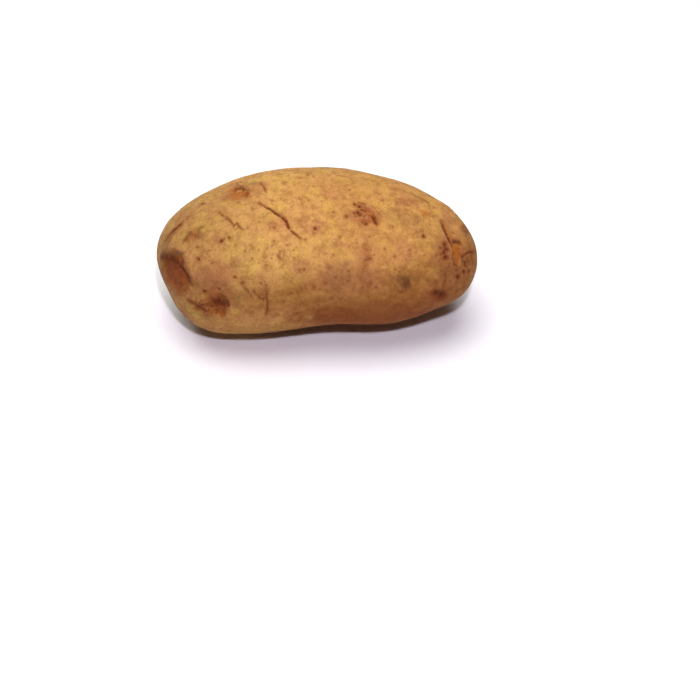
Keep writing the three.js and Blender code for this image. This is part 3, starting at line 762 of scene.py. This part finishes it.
def split_once(directions, faces, plain_edge, pits):
    """One pass of splitting. The faces come back unchanged when no edge is over its limit."""
    points = plain_skin(directions)
    faces, longest = longest_first(faces, points)
    count = len(directions)
    pairs = np.sort(np.concatenate([faces[:, [0, 1]], faces[:, [1, 2]], faces[:, [2, 0]]]), axis=1)
    names, edge_of = np.unique(pairs[:, 0] * count + pairs[:, 1], return_inverse=True)
    first, second, third = edge_of.reshape(3, -1)
    marked = np.zeros(len(names), bool)
    middles = (points[faces[:, 0]] + points[faces[:, 1]]) / 2
    marked[first[longest > edge_limit(middles, plain_edge, pits)]] = True
    while True:
        fresh = (marked[second] | marked[third]) & ~marked[first]
        if not fresh.any():
            break
        marked[first[fresh]] = True
    if not marked.any():
        return directions, faces
    middle_of = np.full(len(names), -1)
    middle_of[marked] = count + np.arange(marked.sum())
    fresh_directions = directions[names[marked] // count] + directions[names[marked] % count]
    fresh_directions /= np.linalg.norm(fresh_directions, axis=1, keepdims=True)
    ab, bc, ca = middle_of[first], middle_of[second], middle_of[third]
    a, b, c = faces.T
    whole = ab < 0
    near = ~whole & (ca < 0)
    near_split = ~whole & (ca >= 0)
    far = ~whole & (bc < 0)
    far_split = ~whole & (bc >= 0)
    pieces = (
        (whole, (a, b, c)),
        (near, (a, ab, c)),
        (near_split, (a, ab, ca)),
        (near_split, (ca, ab, c)),
        (far, (ab, b, c)),
        (far_split, (ab, b, bc)),
        (far_split, (ab, bc, c)),
    )
    faces = np.concatenate([np.stack(corners, axis=1)[which] for which, corners in pieces])
    return np.concatenate([directions, fresh_directions]), faces


def refined_sphere(plain_edge, pits):
    directions, faces = starting_sphere()
    for _ in range(MAX_PASSES):
        before = len(faces)
        directions, faces = split_once(directions, faces, plain_edge, pits)
        if len(faces) == before:
            break
    return directions, faces


def mesh_from(name, points, faces):
    mesh = bpy.data.meshes.new(name)
    mesh.from_pydata(points.tolist(), [], faces.tolist())
    mesh.update()
    return mesh


def vertex_normals(mesh):
    normals = np.zeros(3 * len(mesh.vertices))
    mesh.vertex_normals.foreach_get("vector", normals)
    return normals.reshape(-1, 3)


def lay_down(points):
    """Set the skin on the floor where the frame's solid lies, pressed flat under its belly."""
    low, high = (np.array(corner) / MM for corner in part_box(NODE))
    middle = (points.min(axis=0) + points.max(axis=0)) / 2
    points[:, :2] += (low + high)[:2] / 2 - middle[:2]
    points[:, 2] -= points[:, 2].min() + FLATTENED
    points[:, 2] = np.maximum(points[:, 2], 0)
    return points


def grow_skin(settings):
    """The skin's mesh, in metres, with its colour masks as attributes."""
    pits = PITS + scattered_pits()
    directions, faces = refined_sphere(settings.mesh_edge / MM, pits)
    points = plain_skin(directions)
    mesh = mesh_from("tuber_skin", points, faces)
    skin = Skin(points)
    for shape, features in (
        (colour_side, SIDES),
        (swell, SWELLINGS),
        (carve_eye, EYES),
        (carve_scar, SCARS),
        (carve_groove, GROOVES),
        (carve_pit, pits),
        (lay_stroke, STROKES),
        (lay_patch, PATCHES),
    ):
        for feature in features:
            shape(skin, feature)
    skin.height += (SWELL_HEIGHT * skin.swells + LUMP_HEIGHT * skin.lumps
                    + FINE_LUMP_HEIGHT * skin.fine_lumps)
    points = lay_down(points + vertex_normals(mesh) * skin.height[:, None])
    mesh.vertices.foreach_set("co", (points * MM).ravel())
    for name, values in skin.masks.items():
        attribute = mesh.attributes.new(name, "FLOAT", "POINT")
        attribute.data.foreach_set("value", values.astype(np.float32))
    mesh.update()
    mesh.shade_smooth()
    return mesh


# Material


def add_node(tree, kind, inputs=None, output=0, **settings):
    """Add a node, with its settings, and with each input linked or set to a value.

    Gives back one of its outputs, by name or number.
    """
    node = tree.nodes.new(kind)
    for name, value in settings.items():
        setattr(node, name, value)
    for name, value in (inputs or {}).items():
        if isinstance(value, bpy.types.NodeSocket):
            tree.links.new(value, node.inputs[name])
        elif node.inputs[name].type == "RGBA":
            node.inputs[name].default_value = (*value, 1)
        else:
            node.inputs[name].default_value = value
    return node.outputs[output] if node.outputs else node


def add_blotches(tree, place, size, low, high, most=1.0, detail=3, roughness=0.55, seed=0):
    """Soft-edged blotches of a real size, from 0 up to most, between two levels of a noise."""
    level = add_node(tree, "ShaderNodeTexNoise", {
        "Vector": place, "W": seed, "Scale": 1 / size, "Detail": detail, "Roughness": roughness,
    }, noise_dimensions="4D")
    return add_node(tree, "ShaderNodeMapRange", {
        "Value": level, "From Min": low, "From Max": high, "To Min": 0.0, "To Max": most,
    }, interpolation_type="SMOOTHSTEP")


def add_dots(tree, place, spacing, share, largest):
    """Round dots in a share of the cells of that spacing, of varied size up to largest, a part of it."""
    distance = add_node(tree, "ShaderNodeTexVoronoi", {"Vector": place, "Scale": 1 / spacing}, "Distance")
    chance = add_node(tree, "ShaderNodeSeparateColor", {"Color": distance.node.outputs["Color"]}, "Red")
    reach = add_node(tree, "ShaderNodeMapRange", {
        "Value": chance, "From Min": 1 - share, "From Max": 1.0, "To Min": 0.5 * largest, "To Max": largest,
    })
    inside = add_node(tree, "ShaderNodeMath", {0: reach, 1: distance}, operation="SUBTRACT")
    dot = add_node(tree, "ShaderNodeMapRange", {
        "Value": inside, "From Min": -0.04, "From Max": 0.08, "To Min": 0.0, "To Max": 1.0,
    }, interpolation_type="SMOOTHSTEP")
    chosen = add_node(tree, "ShaderNodeMath", {0: chance, 1: 1 - share}, operation="GREATER_THAN")
    return add_node(tree, "ShaderNodeMath", {0: dot, 1: chosen}, operation="MULTIPLY")


def new_material(name):
    """An empty material and its node tree."""
    material = bpy.data.materials.new(name)
    material.use_nodes = True
    material.node_tree.nodes.clear()
    return material, material.node_tree


def potato_skin_material(settings):
    """Raw potato skin: a thin dry layer of cork, washed and dried, netted and dotted.

    The cork scatters light evenly, so it looks matt and warm, with only a faint wide gleam.
    """
    material, tree = new_material("potato_skin_washed")
    place = add_node(tree, "ShaderNodeTexCoord", output="Object")
    mask = {name: add_node(tree, "ShaderNodeAttribute", output="Fac", attribute_name=name) for name in MASKS}

    blotches = add_blotches(tree, place, settings.blotch, 0.4, 0.6, 0.8)
    small_blotches = add_blotches(tree, place, settings.blotch / 3, 0.42, 0.62, 0.8, seed=1)
    mottle = add_blotches(tree, place, 3.5 * MM, 0.36, 0.72, 0.72, detail=5, roughness=0.8, seed=5)
    soil = add_blotches(tree, place, 1.6 * MM, 0.42, 0.7, 1, detail=4, roughness=0.75, seed=6)
    pebbles = add_blotches(tree, place, settings.pebble, 0.3, 0.7, 1, seed=2)
    speckle = add_blotches(tree, place, 0.45 * MM, 0.35, 0.7, 1, seed=3)
    ragged = add_blotches(tree, place, 1.1 * MM, 0.34, 0.56, 1, detail=4, seed=4)
    pores = add_dots(tree, place, settings.pore_spacing, 0.7, 0.24)
    small_pores = add_dots(tree, place, settings.pore_spacing * 0.6, 0.6, 0.2)

    # Colours laid one over another, each by the product of its amounts
    # The earthy side: soil-darkened skin and painted shade on the lower front, in one colour
    earth_and_shade = add_node(tree, "ShaderNodeMix", {
        0: small_blotches, 6: settings.earthy_and_shade, 7: settings.dark_earthy_and_shade,
    }, 2, data_type="RGBA")
    ground = settings.golden
    for colour, *amounts in (
        (settings.tan, blotches),
        (settings.tan, small_blotches),
        (settings.ruddy, mask["ruddy"]),
        (earth_and_shade, mask["earth_and_shade"]),
        (settings.blush, mask["blush"]),
        (settings.shade, mottle),
        (settings.shade, soil, mask["earth_and_shade"], 0.7),
        (settings.shade, pebbles, 0.12),
        (settings.shade, speckle, 0.12),
        (settings.dot, pores, 0.42),
        (settings.dot, small_pores, 0.35),
        (settings.dot, small_pores, mask["earth_and_shade"], 0.55),
        # Stain: bruises, and painted shade on the underside and the rose end
        (settings.stain_and_shade, mask["stain_and_shade"], 0.65),
        (settings.dot, soil, mask["stain_and_shade"], 0.85),
        (settings.cork, mask["russet"], ragged),
        # Maroon: scar floors, and painted shade on the lower front
        (settings.maroon, mask["maroon"], 0.9),
        (settings.cork, mask["maroon"], ragged, 0.4),
        (settings.amber, mask["amber"], ragged, 0.95),
        (settings.crease, mask["crease"]),
    ):
        amount = amounts[0]
        for further in amounts[1:]:
            amount = add_node(tree, "ShaderNodeMath", {0: amount, 1: further}, operation="MULTIPLY")
        ground = add_node(tree, "ShaderNodeMix", {0: amount, 6: ground, 7: colour}, 2, data_type="RGBA")

    # Relief of the finest things, each with its height in millimetres
    relief = 0.0
    for pattern, height in (
        (pebbles, 0.1),
        (speckle, 0.02),
        (pores, -0.05),
        (small_pores, -0.03),
        (mask["russet"], 0.08),
    ):
        relief = add_node(tree, "ShaderNodeMath", {
            0: pattern, 1: height, 2: relief,
        }, operation="MULTIPLY_ADD")
    bump = add_node(tree, "ShaderNodeBump", {"Height": relief, "Strength": 1.0, "Distance": MM})

    roughness = add_node(tree, "ShaderNodeMapRange", {
        "Value": pebbles, "From Min": 0.0, "From Max": 1.0, "To Min": 0.58, "To Max": 0.72,
    })
    shader = add_node(tree, "ShaderNodeBsdfPrincipled", {
        "Base Color": ground,
        "Roughness": roughness,
        "Normal": bump,
        "IOR": 1.45,
        "Specular IOR Level": 0.1,
    })
    add_node(tree, "ShaderNodeOutputMaterial", {"Surface": shader})
    return material


def floor_material(settings):
    """White seamless paper: matt and even, so it only shows soft shadow."""
    material, tree = new_material("paper_white_matt")
    shader = add_node(tree, "ShaderNodeBsdfPrincipled", {
        "Base Color": settings.floor_colour,
        "Roughness": 0.9,
        "Specular IOR Level": 0.1,
    })
    add_node(tree, "ShaderNodeOutputMaterial", {"Surface": shader})
    return material


# Stage: camera and lights, in millimetres and degrees

IMAGE_PX = 700
SENSOR = 36
CAMERA_FOCAL_PX = 1770
CAMERA_ELEVATION = 45
CAMERA_DISTANCE = 640
CAMERA_AIM = (12, -26.5, 0)

OVERHEAD_PLACE = (-110, 90, 1070)
OVERHEAD_COLOUR = (1, 1, 1)
KEY_PLACE = (49, -468, 647)
KEY_COLOUR = (0.88, 0.825, 1)
ROOM_COLOUR = (0.88, 0.86, 1)

FLOOR_SEGMENTS = 128
SURROUND_SUBDIVISIONS = 4


def aim_at(thing, target):
    thing.rotation_euler = (Vector(target) - thing.location).to_track_quat("-Z", "Y").to_euler()


def add_light(name, place, colour, width, power):
    light = bpy.data.lights.new(name, "AREA")
    light.shape = "DISK"
    light.size = width
    light.energy = power
    light.color = colour
    thing = bpy.data.objects.new(name, light)
    bpy.context.scene.collection.objects.link(thing)
    thing.location = Vector(place) * MM
    aim_at(thing, (0, 0, 0))


def add_shape(name, shape, material):
    """An object from a bmesh, which is used up."""
    mesh = bpy.data.meshes.new(name)
    shape.to_mesh(mesh)
    shape.free()
    mesh.materials.append(material)
    thing = bpy.data.objects.new(name, mesh)
    bpy.context.scene.collection.objects.link(thing)
    return thing


def add_floor(settings):
    disc = bmesh.new()
    bmesh.ops.create_circle(disc, cap_ends=True, segments=FLOOR_SEGMENTS, radius=settings.floor_width / 2)
    floor = add_shape("floor_paper", disc, floor_material(settings))


def surround_material(settings):
    """Evenly lit white backdrop cloth, far out of focus, so it is a plain glow."""
    material, tree = new_material("backdrop_white_lit")
    glow = add_node(tree, "ShaderNodeEmission", {
        "Color": settings.floor_colour, "Strength": settings.surround_glow,
    })
    add_node(tree, "ShaderNodeOutputMaterial", {"Surface": glow})
    return material


def add_surround(settings):
    """A pale dome round the stage, seen directly and in reflections, that lights and shades nothing."""
    dome = bmesh.new()
    bmesh.ops.create_icosphere(dome, subdivisions=SURROUND_SUBDIVISIONS, radius=settings.surround_width / 2)
    surround = add_shape("surround", dome, surround_material(settings))
    surround.visible_diffuse = False
    surround.visible_shadow = False


def add_room(settings):
    world = bpy.data.worlds.new("room")
    world.use_nodes = True
    background = world.node_tree.nodes["Background"]
    background.inputs["Color"].default_value = (*ROOM_COLOUR, 1)
    background.inputs["Strength"].default_value = settings.room_light
    bpy.context.scene.world = world


def add_camera():
    data = bpy.data.cameras.new("camera")
    data.sensor_width = SENSOR
    data.lens = CAMERA_FOCAL_PX * SENSOR / IMAGE_PX
    camera = bpy.data.objects.new("camera", data)
    bpy.context.scene.collection.objects.link(camera)
    rise = math.radians(CAMERA_ELEVATION)
    away = Vector((0, -math.cos(rise), math.sin(rise))) * CAMERA_DISTANCE
    camera.location = (Vector(CAMERA_AIM) + away) * MM
    aim_at(camera, Vector(CAMERA_AIM) * MM)
    bpy.context.scene.camera = camera


class POTATO_OT_tuber(bpy.types.Operator):
    """Grow the potato's skin in place of its plain solid"""

    bl_idname = "potato.tuber"
    bl_label = "Potato"

    def execute(self, context):
        settings = context.scene.potato_skin
        skin = bpy.data.objects.new("tuber_skin", grow_skin(settings))
        context.scene.collection.objects.link(skin)
        skin.data.materials.append(potato_skin_material(settings))
        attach(skin, BODY)
        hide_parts(NODE)
        return {"FINISHED"}


class POTATO_OT_stage(bpy.types.Operator):
    """Set the paper floor, the lights and the camera"""

    bl_idname = "potato.stage"
    bl_label = "Stage"

    def execute(self, context):
        settings = context.scene.potato_stage
        add_floor(settings)
        add_surround(settings)
        for name, place, colour, width, power in (
            ("overhead", OVERHEAD_PLACE, OVERHEAD_COLOUR, settings.overhead_width, settings.overhead_power),
            ("key", KEY_PLACE, KEY_COLOUR, settings.key_width, settings.key_power),
        ):
            add_light(name, place, colour, width, power)
        add_room(settings)
        add_camera()
        context.scene.view_settings.view_transform = "Standard"
        return {"FINISHED"}


class POTATO_PT_panel(bpy.types.Panel):
    bl_idname = "POTATO_PT_panel"
    bl_label = "Potato"
    bl_space_type = "VIEW_3D"
    bl_region_type = "UI"
    bl_category = "Potato"

    def draw(self, context):
        for operator, settings in (
            (POTATO_OT_tuber, context.scene.potato_skin),
            (POTATO_OT_stage, context.scene.potato_stage),
        ):
            box = self.layout.box()
            for name in settings.__annotations__:
                box.prop(settings, name)
            box.operator(operator.bl_idname)


CLASSES = (SkinSettings, StageSettings, POTATO_OT_tuber, POTATO_OT_stage, POTATO_PT_panel)


def register():
    for each in CLASSES:
        bpy.utils.register_class(each)
    bpy.types.Scene.potato_skin = bpy.props.PointerProperty(type=SkinSettings)
    bpy.types.Scene.potato_stage = bpy.props.PointerProperty(type=StageSettings)


def unregister():
    del bpy.types.Scene.potato_skin
    del bpy.types.Scene.potato_stage
    for each in reversed(CLASSES):
        bpy.utils.unregister_class(each)


def main():
    register()
    bpy.ops.potato.tuber()
    bpy.ops.potato.stage()


if __name__ == "__main__":
    main()
